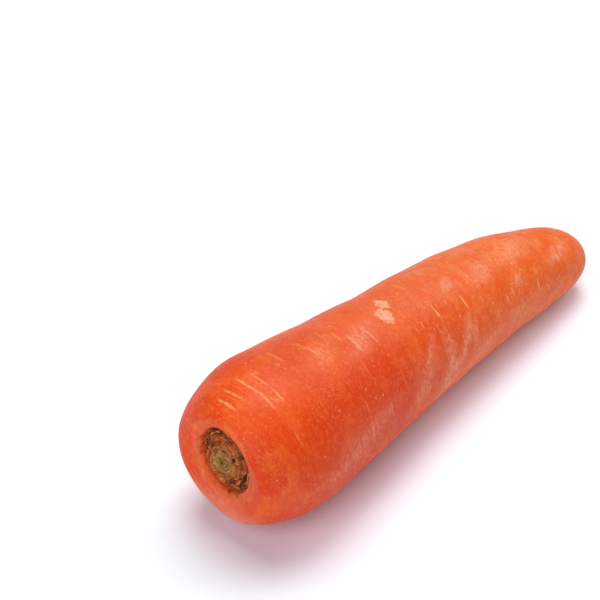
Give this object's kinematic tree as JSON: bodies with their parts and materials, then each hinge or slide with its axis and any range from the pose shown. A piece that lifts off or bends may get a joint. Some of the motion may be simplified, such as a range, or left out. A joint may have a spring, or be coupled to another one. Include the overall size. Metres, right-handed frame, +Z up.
{
  "type": "carrot",
  "caption": "Blunt-tipped orange carrot lying on its side, topped, with dried leaf-stalk bases and a green bud in its crown hollow.",
  "frame": {"origin": "on the surface that the carrot lies on, under the middle of its bounding box", "axes": "+X from the crown to the tip, +Z up as the carrot lies"},
  "size_m": [0.1754, 0.052, 0.0514],
  "materials": {
    "carrot_skin": "smooth washed carrot skin with a soft waxy sheen",
    "dried_stalk": "dry, dark, fibrous stalk remains",
    "green_stalk": "cut olive-green stalks with tan edges"
  },
  "bodies": {
    "root": {"taproot": "carrot_skin", "leaf_stalk_bases": "dried_stalk", "crown_bud": "green_stalk"}
  },
  "joints": []
}
